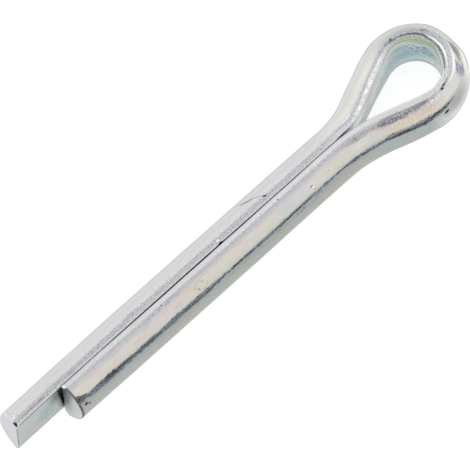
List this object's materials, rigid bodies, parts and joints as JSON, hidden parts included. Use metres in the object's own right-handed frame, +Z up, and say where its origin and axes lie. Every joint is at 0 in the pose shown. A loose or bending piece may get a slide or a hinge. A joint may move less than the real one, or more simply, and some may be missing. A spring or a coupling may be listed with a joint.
{
  "type": "cotter pin",
  "caption": "Split cotter pin of half-round wire with a teardrop eye, closed legs and one leg longer than the other.",
  "frame": {"origin": "on the shank's axis, at the shoulder where the long leg starts to part into the eye", "axes": "+X along the shank towards the cut ends of the legs, Y across the split with the long leg on the negative side, +Z up with the pin lying on its side"},
  "size_m": [0.0371, 0.0072, 0.0034],
  "materials": {
    "zinc": "bright zinc plate, faintly iridescent"
  },
  "bodies": {
    "root": {"cotter_pin": "zinc"}
  },
  "joints": []
}
